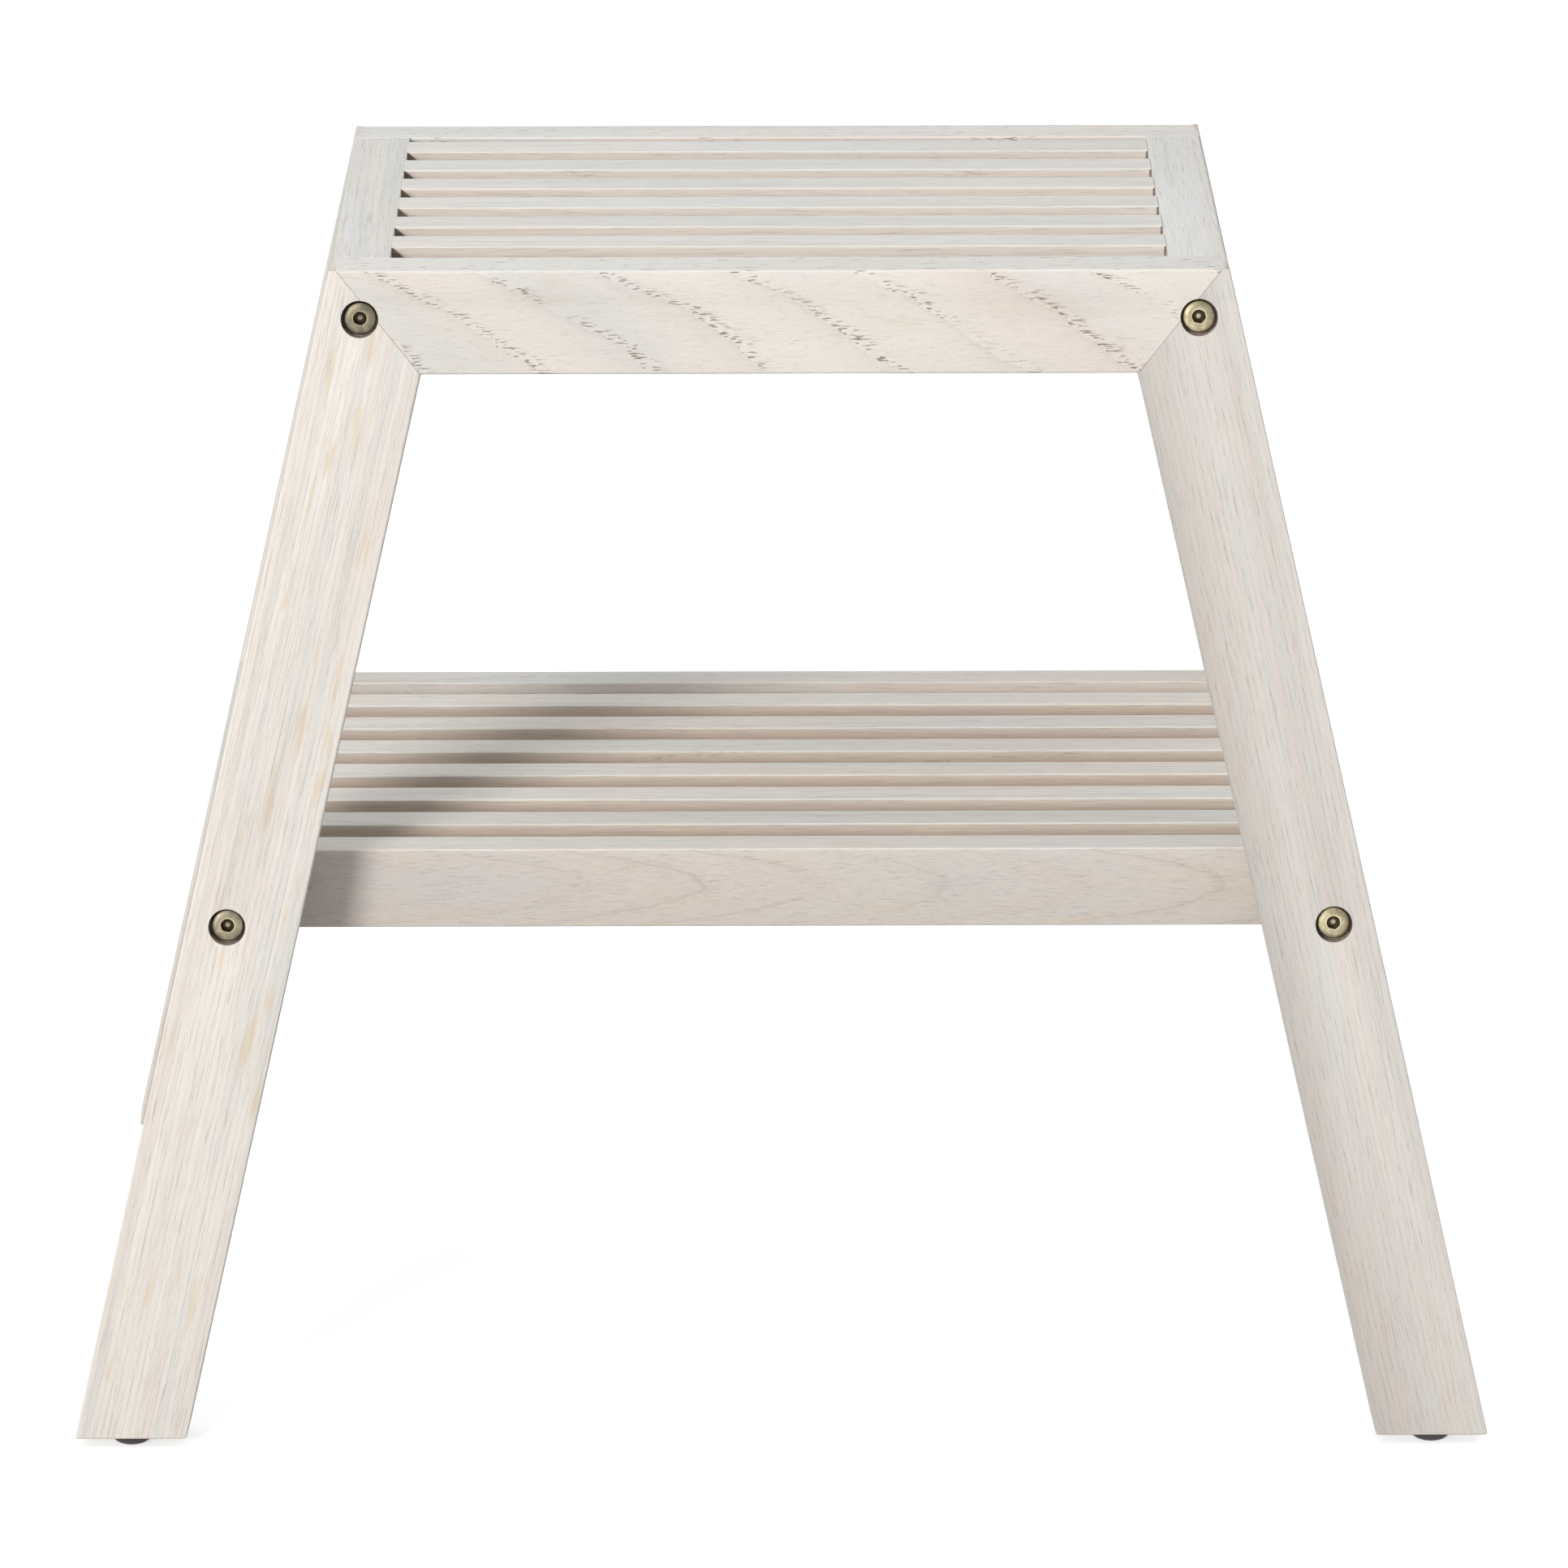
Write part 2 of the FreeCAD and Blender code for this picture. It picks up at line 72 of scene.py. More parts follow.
# %% Camera
CAMERA_PLACE = Vector((-0.0102, -2.8467, 1.2195))
CAMERA_PAN = math.radians(-0.245)
CAMERA_PITCH = math.radians(19.5)
CAMERA_ROLL = math.radians(-0.068)
CAMERA_LENS_MM = 173.8

camera = bpy.data.objects.new("camera", bpy.data.cameras.new("camera"))
bpy.context.scene.collection.objects.link(camera)
bpy.context.scene.camera = camera
camera.data.sensor_width = 36
camera.data.lens = CAMERA_LENS_MM
camera.data.clip_end = 100
camera.location = CAMERA_PLACE
aim = Matrix.Rotation(CAMERA_PAN, 3, "Z") @ Matrix.Rotation(math.radians(90) - CAMERA_PITCH, 3, "X")
camera.rotation_euler = (aim @ Matrix.Rotation(CAMERA_ROLL, 3, "Z")).to_euler()
print("camera", tuple(round(v, 3) for v in camera.location), "lens", camera.data.lens)

# %% [markdown]
# ## Shader expressions
#
# A node graph is easier to read as a formula. `Wire` wraps one output socket, and its
# operators add the Math node that does the sum. The alternative, wiring nodes one call at a
# time, hides a three-line idea in thirty lines.

# %% Wire
class Wire:
    """One output socket, on which sums can be written as Python expressions."""

    def __init__(self, recipe, socket):
        self.recipe = recipe
        self.socket = socket

    def sum(self, operation, first, second=0.0):
        """Add the Math node for one operation."""
        return self.recipe.add("ShaderNodeMath", {"operation": operation}, {0: first, 1: second})

    def __add__(self, other):
        return self.sum("ADD", self, other)

    def __radd__(self, other):
        return self.sum("ADD", other, self)

    def __sub__(self, other):
        return self.sum("SUBTRACT", self, other)

    def __rsub__(self, other):
        return self.sum("SUBTRACT", other, self)

    def __mul__(self, other):
        return self.sum("MULTIPLY", self, other)

    def __rmul__(self, other):
        return self.sum("MULTIPLY", other, self)

    def __truediv__(self, other):
        return self.sum("DIVIDE", self, other)

    def __rtruediv__(self, other):
        return self.sum("DIVIDE", other, self)

    def fraction(self):
        """What is left after the whole number is taken away."""
        return self.sum("FRACT", self)

    def fade(self, start, finish):
        """0 up to start, 1 from finish, and a smooth ramp in between."""
        sockets = {"Value": self, "From Min": start, "From Max": finish}
        return self.recipe.add("ShaderNodeMapRange", {"interpolation_type": "SMOOTHSTEP"}, sockets)


print("a wire can:", [name for name in vars(Wire) if not name.startswith("__")])

# %% [markdown]
# `Recipe` owns a graph and adds every other node through one method, `add`: settings first,
# then the values or wires of the sockets. The other methods only call `add` with what comes up
# again and again: a mix of two colours, a cloud of noise, a mesh attribute, a part of a vector.

# %% Recipe
class Recipe:
    """A node graph that is filled in by one method."""

    def __init__(self, tree):
        self.tree = tree
        self.tree.nodes.clear()

    def add(self, kind, settings=None, sockets=None, output=0):
        """Add a node: its settings first, then the values or wires of its sockets."""
        node = self.tree.nodes.new(kind)
        for key, setting in (settings or {}).items():
            setattr(node, key, setting)
        for key, wanted in (sockets or {}).items():
            if isinstance(wanted, Wire):
                self.tree.links.new(wanted.socket, node.inputs[key])
            else:
                node.inputs[key].default_value = wanted
        return Wire(self, node.outputs[output]) if node.outputs else None

    def mix(self, factor, first, second):
        """Blend two colours."""
        return self.add("ShaderNodeMix", {"data_type": "RGBA"}, {0: factor, 6: first, 7: second}, 2)

    def scaled(self, place, size):
        """Divide a place by a patch size, so that one patch spans one unit."""
        factors = tuple(1 / s for s in size)
        return self.add("ShaderNodeVectorMath", {"operation": "MULTIPLY"}, {0: place, 1: factors})

    def cloud(self, place, size, detail=2.0):
        """Smooth noise whose patches have the given size along the three axes."""
        sockets = {"Vector": self.scaled(place, size), "Scale": 1.0, "Detail": detail}
        return self.add("ShaderNodeTexNoise", {}, sockets)

    def mark(self, name, output="Fac"):
        """Read a mesh attribute: one number, or three with output="Vector"."""
        return self.add("ShaderNodeAttribute", {"attribute_name": name}, {}, output)

    def part(self, vector, axis):
        """One of the three numbers of a vector."""
        return self.add("ShaderNodeSeparateXYZ", {}, {"Vector": vector}, axis)

    def object_place(self):
        """The point's place in its own object."""
        return self.add("ShaderNodeTexCoord", {}, {}, "Object")


print("a recipe can:", [name for name in vars(Recipe) if not name.startswith("__")])

# %% [markdown]
# Every finish starts as an empty recipe and ends in the standard surface shader. Colours are
# picked as a screen shows them, but light adds up in linear numbers, so `paint` converts them.

# %% Finishes and paint
def new_finish(name):
    """A new material, with its empty recipe."""
    material = bpy.data.materials.new(name)
    material.use_nodes = True
    return material, Recipe(material.node_tree)


def finish_surface(recipe, sockets):
    """End a recipe with the standard surface shader."""
    shader = recipe.add("ShaderNodeBsdfPrincipled", {}, sockets)
    recipe.add("ShaderNodeOutputMaterial", {}, {"Surface": shader})


def paint(red, green, blue):
    """A colour given as 0 to 255, the way a screen shows it, turned into linear light."""
    def linear(level):
        share = level / 255
        return share / 12.92 if share <= 0.04045 else ((share + 0.055) / 1.055) ** 2.4
    return (linear(red), linear(green), linear(blue), 1.0)


print("a half grey in linear light:", round(paint(128, 128, 128)[0], 3))

# %% [markdown]
# ## Studio
#
# The bench stands on a white floor, and three kinds of light reach it. A soft, slightly warm
# key light comes from the front left and quite low, so it reaches into the gaps between the
# slats and throws the shadow of the left leg along the shelf. The sky is bright behind the
# bench and overhead, as a white studio wall and a ceiling light would be, which lifts the
# tops of the slats and their rear edges, and it is dim in front, so that the gaps stay deep.
# The lower half of the sky stands for the light that a real floor throws back up.

# %% Key light
KEY_SIDE = math.radians(30)
KEY_RISE = math.radians(19.5)
KEY_SOFTNESS = math.radians(18)
KEY_POWER = 1.88

scene = bpy.context.scene
scene.view_settings.view_transform = "Standard"

key = bpy.data.objects.new("key_light", bpy.data.lights.new("key_light", "SUN"))
scene.collection.objects.link(key)
key.data.energy = KEY_POWER
key.data.angle = KEY_SOFTNESS
key.data.color = (1.0, 0.965, 0.935)
key.rotation_euler = (math.radians(90) - KEY_RISE, 0, -KEY_SIDE)
print("key light", key.data.energy, "softness", round(math.degrees(KEY_SOFTNESS)), "degrees")

# %% [markdown]
# The sky is painted by direction: `rise` is how far up one looks and `behind` is how far
# towards the back. Each mix lays the next zone over the last, from the floor to overhead. Lamps
# would do the same, but each would add a hard highlight of its own to the brass.

# %% Sky
sky = bpy.data.worlds.new("studio_sky")
scene.world = sky
sky.use_nodes = True
sky_recipe = Recipe(sky.node_tree)
direction = sky_recipe.add("ShaderNodeTexCoord", {}, {}, "Generated")
rise = sky_recipe.part(direction, "Z")
behind = sky_recipe.part(direction, "Y").fade(-0.15, 0.65)
wall_glow = sky_recipe.mix(behind, (0.36, 0.36, 0.36, 1), (0.50, 0.51, 0.51, 1))
room_glow = sky_recipe.mix(rise.fade(-0.15, 0.05), (0.22, 0.21, 0.20, 1), wall_glow)
sky_glow = sky_recipe.mix(rise.fade(0.30, 0.95), room_glow, (1.13, 1.18, 1.21, 1))
backdrop = sky_recipe.add("ShaderNodeBackground", {}, {"Color": sky_glow})
sky_recipe.add("ShaderNodeOutputWorld", {}, {"Surface": backdrop})
print("sky nodes:", len(sky.node_tree.nodes))

# %% [markdown]
# The floor and the white shell around it are only what the camera sees. Both are switched off
# for diffuse rays, so the floor can stay white without flooding the wood from below. The floor
# glows a little, so that it is white up to the feet of the bench.

# %% Floor and shell
FLOOR_GLOW = 0.60
FLOOR_HALF = 30.0
SHELL_RADIUS = 45.0


def new_object(name, shape):
    """Turn a bmesh into a linked object."""
    mesh = bpy.data.meshes.new(name)
    shape.to_mesh(mesh)
    shape.free()
    made = bpy.data.objects.new(name, mesh)
    scene.collection.objects.link(made)
    return made


paper, paper_recipe = new_finish("white_floor_paper")
paper_tooth = paper_recipe.cloud(paper_recipe.object_place(), (0.6, 0.6, 0.6))
paper_white = paper_recipe.mix(paper_tooth, paint(210, 210, 209), paint(214, 214, 213))
finish_surface(paper_recipe, {
    "Base Color": paper_white, "Roughness": 0.9, "Emission Color": (1, 1, 1, 1),
    "Emission Strength": FLOOR_GLOW})

floor_shape = bmesh.new()
bmesh.ops.create_grid(floor_shape, x_segments=8, y_segments=8, size=FLOOR_HALF)
floor = new_object("studio_floor", floor_shape)
floor.location.z = cad_low.z
floor.data.materials.append(paper)

white, white_recipe = new_finish("white_shell_glow")
glow_shader = white_recipe.add("ShaderNodeEmission", {}, {"Color": (1, 1, 1, 1), "Strength": 1.0})
white_recipe.add("ShaderNodeOutputMaterial", {}, {"Surface": glow_shader})

shell_shape = bmesh.new()
bmesh.ops.create_icosphere(shell_shape, subdivisions=4, radius=SHELL_RADIUS)
shell = new_object("studio_shell", shell_shape)
shell.data.materials.append(white)

floor.visible_diffuse = False
for hidden_from in ("visible_diffuse", "visible_glossy", "visible_shadow", "visible_transmission"):
    setattr(shell, hidden_from, False)
print("floor half", FLOOR_HALF, "shell radius", SHELL_RADIUS)

# %% [markdown]
# ## Whitewashed oak
#
# The wood is oak under a thin white wash: cream, pinkish and blue-grey zones follow the grain,
# and rows of brown pores break through where the rings cut the surface. A flat picture of
# grain would not turn the corner of a board, so the wood is one solid log instead. Every board
# carries its place in that log as the mesh attribute `log`, in millimetres: x runs along the
# trunk, and the distance from the x axis counts the rings, which sway slowly along the trunk.
# The face of a board then shows straight lines, slanted rows or arches by the way it was sawn.
#
# The other attributes say what happened to each surface:
#
# - `board` holds three numbers for each board: how grey its wash dried, how open its pores are,
#   and how much of its tan stain shows.
# - `arris` marks the eased edges, which are painted lighter as a highlight.
# - `end_grain` marks the sawn ends, which drink more of the wash.
# - `shade_and_shine` marks the sides of the slats, where shade is painted into the gaps, and, with
#   a higher number, the walls of the bolt recesses, which are painted as the darkest shade.
#   number, the walls of the bolt recesses, which it never reaches.
# - `seat_top_grey` marks the top faces of the seat, which are painted greyer than the rest.
# - `gap` holds how far a point is from each end of its board and below its top, in millimetres,
#   for the shade that is painted into the gaps between the slats.

# %% Growth rings
MM = 0.001
RING_WIDTH = 3.4
SWAY = 4.0
RIPPLE = 0.9


def growth_rings(oak, place):
    """How far a point is through its year, and its place as ring number and height."""
    crosswise = oak.add("ShaderNodeVectorMath", {"operation": "MULTIPLY"}, {0: place, 1: (0, 1, 1)})
    from_heart = oak.add("ShaderNodeVectorMath", {"operation": "LENGTH"}, {0: crosswise}, "Value")
    sway = oak.cloud(place, (210, 70, 70), 1)
    ripple = oak.cloud(place, (26, 7, 7), 2)
    rings = (from_heart + sway * SWAY + ripple * RIPPLE) / RING_WIDTH
    up_trunk = oak.part(place, "X")
    ring_place = oak.add("ShaderNodeCombineXYZ", {}, {"X": up_trunk, "Y": rings})
    return rings.fraction(), ring_place


print("ring width mm", RING_WIDTH)

# %% [markdown]
# The pores open in spring wood, at the start of each year, in rows that break off here and
# there. A few lie anywhere. The sizes given to `cloud` are in millimetres, along the trunk
# first, so a long first number draws the noise out into pores, flecks or fibres.

# %% Pores, flecks and painted shade in the gap corners
PORE_SIZE = (4.6, 0.60, 0.60)
FLECK_SIZE = (2.6, 0.30, 0.30)


def open_pores(oak, place, ring_place, age, openness):
    """Where the open pores are, and where the short flecks are."""
    spring = 1 - age.fade(0.05, 0.24)
    broken = oak.cloud(ring_place, (30, 1.2, 1), 1).fade(0.28, 0.46)
    pore_noise = oak.cloud(place, PORE_SIZE, 1)
    pores = pore_noise.fade(0.57, 0.65) * (spring * broken * 0.98 + 0.02) * openness
    fleck_noise = oak.cloud(place, FLECK_SIZE, 1)
    return pores, fleck_noise.fade(0.68, 0.76) * 0.25


def corner_shade(oak, shade_and_shine, depth):
    """Painted shade in the corners of the gaps between the slats, and in the bolt recesses."""
    gap = oak.mark("gap", "Vector")
    left_corner = (depth * 1.15 - oak.part(gap, "X")).fade(-0.5, 0.5)
    right_corner = 1 - oak.part(gap, "Y").fade(0.5, 1.2)
    return (left_corner + right_corner) * shade_and_shine.fade(0.38, 0.45) + shade_and_shine.fade(2.0, 2.5)


print("pore patches mm", PORE_SIZE, "fleck patches mm", FLECK_SIZE)

# %% [markdown]
# The finish is a stack of thin layers, each a mask and a colour, laid over each other from the
# wash up to the dirt. Layers that show everywhere are weak. `calm` weakens the fine threads on
# a board whose pores are open, because there the rows of pores are what the eye sees.

# %% Whitewashed oak
def whitewashed_oak(name):
    """Solid oak with rings, pores, fibres and a thin white wash."""
    material, oak = new_finish(name)
    place = oak.mark("log", "Vector")
    board = oak.mark("board", "Vector")
    greyness, openness, stained = (oak.part(board, axis) for axis in "XYZ")
    depth = oak.part(oak.mark("gap", "Vector"), "Z")
    arris = oak.mark("arris")
    shade_and_shine = oak.mark("shade_and_shine")
    calm = 1 - openness * 0.6

    age, ring_place = growth_rings(oak, place)
    pores, flecks = open_pores(oak, place, ring_place, age, openness)
    summer = age.fade(0.55, 0.97)
    ring_line = age.fade(0.90, 0.985) * oak.cloud(ring_place, (60, 1.5, 1), 1).fade(0.35, 0.60)
    fibre = oak.cloud(place, (26, 0.42, 0.42), 2)
    thread = oak.cloud(place, (18, 0.50, 0.50), 1)
    pink_zone = oak.cloud(ring_place, (260, 2.4, 1), 2).fade(0.40, 0.66)
    blue_zone = oak.cloud(oak.scaled(ring_place, (-1, 1, 1)), (190, 2.0, 1), 2).fade(0.44, 0.68)
    stain_zone = oak.cloud(oak.scaled(place, (1, -1, 1)), (38, 10, 10), 2).fade(0.58, 0.74)

    layers = [
        (greyness, (211, 208, 202)),                                    # wash that dried grey
        (oak.mark("seat_top_grey") * 0.75, (208, 206, 200)),                  # seat top painted greyer
        (pink_zone * 0.45, (234, 220, 213)),
        (blue_zone * 0.45, (220, 222, 223)),
        (shade_and_shine * depth.fade(-3.0, 4.0) * 0.65, (182, 161, 142)),         # painted shade on the slat sides, darker deeper in the gap
        # painted shade: a dark triangle at the left end of each gap, a thin strip at its right end,
        # and the bolt recesses
        (corner_shade(oak, shade_and_shine, depth) * 0.85, (74, 56, 42)),
        (summer * 0.11, (208, 198, 192)),
        (thread.fade(0.61, 0.67) * calm * 0.38, (158, 148, 146)),
        (fibre.fade(0.52, 0.70) * calm * 0.18, (186, 172, 164)),        # dark fibres
        ((1 - fibre.fade(0.30, 0.44)) * calm * 0.25, (248, 243, 234)),  # pale fibres
        (ring_line * (1 - openness * 0.75) * 0.26, (160, 146, 138)),
        (stain_zone * stained, (230, 213, 188)),                        # tan stains
        (flecks * openness, (150, 126, 110)),
        (pores * 0.75, (128, 100, 84)),
        (oak.mark("end_grain") * 0.30, (196, 180, 162)),
        # painted highlight along the eased edges
        (arris * 0.18, (247, 242, 232)),
        (oak.mark("seam") * 0.45, (140, 124, 110)),
    ]
    colour = paint(250, 244, 235)                                       # cream wash
    for mask, over in layers:
        colour = oak.mix(mask, colour, paint(*over))

    relief = 0 - pores - flecks - fibre * calm * 0.35 - summer * 0.10
    bump_sockets = {"Strength": 0.75, "Distance": 0.25 * MM, "Height": relief}
    bump = oak.add("ShaderNodeBump", {}, bump_sockets)
    roughness = 0.56 + pores * 0.20 + fibre * 0.12 - arris * 0.08
    finish_surface(oak, {"Base Color": colour, "Roughness": roughness, "Normal": bump,
                         "Specular IOR Level": 0.35})
    return material


frame_oak = whitewashed_oak("whitewashed_oak_frame")
print("oak nodes:", len(frame_oak.node_tree.nodes))

# %% [markdown]
# ## From CAD solid to sawn board
#
# A real board is never knife-sharp. Its long edges are rounded over by a millimetre or so, and
# its sawn ends only lose their burr, which is what draws a thin dark line at every joint. The
# CAD solid is copied and its flat faces are merged, each edge then gets a bevel weight by what
# it is, and one Bevel modifier rounds them all: the copy stays inside the CAD solid, because a
# bevel only takes wood away. Modelling each board from nothing would repeat sizes that the CAD
# file already holds.

# %% Copy and read a CAD board
FLAT = math.radians(0.6)
SHARP = math.radians(25)
LEVEL = Matrix.Diagonal((1, 1, 0))          # drops the height of a point


def copied_shape(node):
    """A CAD node as a bmesh whose coplanar triangles are merged."""
    shape = bmesh.new()
    shape.from_mesh(bpy.data.objects[node].data)
    bmesh.ops.remove_doubles(shape, verts=shape.verts, dist=0.01 * MM)
    bmesh.ops.dissolve_limit(shape, angle_limit=FLAT, verts=shape.verts, edges=shape.edges)
    return shape


def board_axes(shape):
    """Unit vectors along the grain, across the widest face and outwards through the board."""
    longest = max(shape.edges, key=lambda edge: edge.calc_length())
    along = (longest.verts[1].co - longest.verts[0].co).normalized()
    if along.x + along.y + along.z < 0:
        along.negate()
    widest = max(shape.faces, key=lambda face: face.calc_area())
    through = (widest.normal - along * widest.normal.dot(along)).normalized()
    if through.dot(LEVEL @ widest.calc_center_median()) < 0:
        through.negate()
    return along, through.cross(along), through


apron_shape = copied_shape("front_apron")
front_out = board_axes(apron_shape)[2]
apron_shape.free()
print("the front frame faces", [round(v, 3) for v in front_out])

# %% [markdown]
# The two frames lean the same amount in opposite directions, so the direction in which the
# front one faces also gives the rear one. The bolts stand square to their frame. The outer end
# of each bolt, measured along that direction, is the middle of its head.

# %% Places of the bolts
def node_axis(node, axis):
    """The point where a node's axis leaves its far end, its length and its radius."""
    side = axis.orthogonal().normalized()
    other = axis.cross(side)
    points = [vert.co for vert in bpy.data.objects[node].data.vertices]
    spans = {}
    for label, way in (("axis", axis), ("side", side), ("other", other)):
        reaches = [point.dot(way) for point in points]
        spans[label] = (min(reaches), max(reaches))
    middle = side * sum(spans["side"]) / 2 + other * sum(spans["other"]) / 2
    low, high = spans["axis"]
    return middle + axis * high, high - low, (spans["side"][1] - spans["side"][0]) / 2


OUTWARDS = {"front": front_out, "rear": Vector((front_out.x, -front_out.y, front_out.z))}
BOLT_HEADS = []
for frame_side, outwards in OUTWARDS.items():
    for side in ("left", "right"):
        for level in ("seat", "shelf"):
            BOLT_HEADS.append(node_axis(f"{level}_bolt_{frame_side}_{side}", outwards)[0])
print("bolt heads", len(BOLT_HEADS))

# %% [markdown]
# The bevel weights come from the shape alone. A long convex edge that runs with the grain is
# an arris and gets the full rounding. A short step of a drilled rim and every cut end only
# lose their burr. An inner corner and a nearly flat edge are left alone. The foot ends of the
# legs are rounded like an arris, so that they don't splinter when the bench is dragged. The
# modifier puts the faces that it makes in a material slot of their own, which is only there to
# tell rounded faces from flat ones later.

# %% Ease the edges
BURR = 0.16 * MM
BEVEL_STEPS = 3
FACES_DOWN = 0.9        # how far a face must look down to be the underside of a foot
FOOT_RIM = 12 * MM
WITH_GRAIN = 0.97       # how closely an edge must follow the grain to be an arris
LONG_ENOUGH = 0.25      # the share of the board that an arris must at least run along
FLAT_SLOT, ROUNDED_SLOT = 0, 1


def edge_kind(edge, along, reach):
    """Say what an edge is: an arris, a cut end or plain, which stays as it is."""
    if len(edge.link_faces) != 2 or not edge.is_convex or edge.calc_face_angle(0) < SHARP:
        return "plain"
    length = edge.calc_length()
    run = (edge.verts[1].co - edge.verts[0].co).normalized()
    if length > reach and abs(run.dot(along)) > WITH_GRAIN:
        return "arris"
    return "cut"


def at_foot(edge):
    """True for the rim of a foot's underside, which faces the floor."""
    foot_faces = [face for face in edge.link_faces if face.normal.z < -FACES_DOWN]
    return any(face.calc_center_median().z < FOOT_RIM for face in foot_faces)


def ease_edges(piece_shape, along, arris):
    """Write the bevel weights of a board."""
    weight = piece_shape.edges.layers.float.new("bevel_weight_edge")
    spans = [vert.co.dot(along) for vert in piece_shape.verts]
    reach = LONG_ENOUGH * (max(spans) - min(spans))
    counts = {"arris": 0, "cut": 0, "plain": 0}
    for edge in piece_shape.edges:
        kind = edge_kind(edge, along, reach)
        counts[kind] += 1
        if kind == "arris" or (kind == "cut" and at_foot(edge)):
            edge[weight] = 1.0
        elif kind == "cut":
            edge[weight] = BURR / arris
    return counts


def bevelled_mesh(name, piece_shape, arris):
    """Round the weighted edges with a Bevel modifier and return the resulting mesh."""
    rough = new_object(name + "_rough", piece_shape)
    for face in rough.data.polygons:
        face.use_smooth = True
        face.material_index = FLAT_SLOT
    rounding = rough.modifiers.new("rounding", "BEVEL")
    rounding.limit_method = "WEIGHT"
    rounding.offset_type = "OFFSET"
    rounding.width = arris
    rounding.segments = BEVEL_STEPS
    rounding.use_clamp_overlap = False
    rounding.harden_normals = True
    rounding.material = ROUNDED_SLOT
    for _ in (FLAT_SLOT, ROUNDED_SLOT):
        rough.data.materials.append(frame_oak)
    rounded = rough.evaluated_get(bpy.context.evaluated_depsgraph_get())
    done = bpy.data.meshes.new_from_object(rounded)
    done.name = name
    bpy.data.objects.remove(rough)
    return done


print("burr mm", BURR / MM, "steps in a rounded edge", BEVEL_STEPS)

# %% [markdown]
# ## Marks on a board
#
# The finish has to know what each surface is. The shape tells it: a face square to the grain
# is a sawn end, an upright face of a slat is a side where shade is painted into the gap, and a
# face at the full height of the bench is the top of the seat. Painting these by hand would have
# to be done again whenever the CAD model changes.

# %% Marks on a board
RECESS_REACH = 8 * MM
RECESS_SHADE = 3.0   # above any board's own, so that the finish can tell a recess
ABOVE_TENONS = 2 * MM
SEAT_TOP = cad_high.z - 0.5 * MM
END_FACE = 0.75         # how squarely a face must cross the grain to be a sawn end
SEAM_FACE = 0.12        # and how squarely a rounded face must, to be the rim of a joint
UPRIGHT = 0.45          # how little a face may look up or down to be a side
RECESS_WALL = 0.5       # how little a face may look outwards to be the wall of a recess


def write_mark(mesh, name, values, domain="POINT"):
    """Store one number for each point or face, or three for each point."""
    count = len(mesh.vertices) if domain == "POINT" else len(mesh.polygons)
    if len(values) == 3 * count:
        kind, field = "FLOAT_VECTOR", "vector"
    else:
        kind, field = "FLOAT", "value"
    mesh.attributes.new(name, kind, domain).data.foreach_set(field, values)


def near_bolt(point):
    """True inside the counterbore of a bolt."""
    return any((point - head).length < RECESS_REACH for head in BOLT_HEADS)


def gap_places(mesh):
    """How far each point is from the left end, from the right end and below the top."""
    top = max(vert.co.z for vert in mesh.vertices)
    reach = max(vert.co.x for vert in mesh.vertices if top - vert.co.z < ABOVE_TENONS)
    places = []
    for vert in mesh.vertices:
        places += [(reach + vert.co.x) / MM, (reach - vert.co.x) / MM, (top - vert.co.z) / MM]
    return places


def mark_surfaces(mesh, along, through, side_shade):
    """Mark the eased edges, the sawn ends, the seams, the sides that get painted shade and the
    seat's top.
    """
    eased = [1.0] * len(mesh.vertices)
    ends, seams, sides, tops = [], [], [], []
    for face in mesh.polygons:
        slant = abs(face.normal.dot(along))
        rounded = face.material_index == ROUNDED_SLOT
        if not rounded:
            for corner in face.vertices:
                eased[corner] = 0.0
        ends.append(float(slant > END_FACE))
        # slat sides and recess walls are marked for painted shade
        in_recess = abs(face.normal.dot(through)) < RECESS_WALL and near_bolt(face.center)
        is_side = abs(face.normal.z) < UPRIGHT
        sides.append(RECESS_SHADE if in_recess else side_shade * is_side)
        tops.append(float(face.center.z > SEAT_TOP))
        inside = FOOT_RIM < face.center.z < SEAT_TOP
        seams.append(float(rounded and slant > SEAM_FACE and inside))
        face.material_index = FLAT_SLOT
    write_mark(mesh, "arris", eased)
    for name, values in (("end_grain", ends), ("seam", seams), ("shade_and_shine", sides), ("seat_top_grey", tops)):
        write_mark(mesh, name, values, "FACE")


print("a recess reaches mm", RECESS_REACH / MM, "seat top at mm", round(SEAT_TOP / MM, 1))

# %% [markdown]
# ## Laying the boards in the log
#
# `cant` turns a board about its own length: at 0 degrees its wide face is plain-sawn and shows
# arches, and at 90 degrees it is quarter-sawn and shows straight lines. `runout` tips it along
# the trunk, as a slope, which makes the rings cross the face at a slant. `heart` is how far
# from the middle of the tree it was cut, `start` is how far up the trunk, and `ring` is how
# wide its yearly rings are, these three in millimetres. The log has one ring width, so a board
# with narrower rings is laid in it larger across the grain, and all boards share one material.

# %% Place in the log
FINE_RING = 2.2


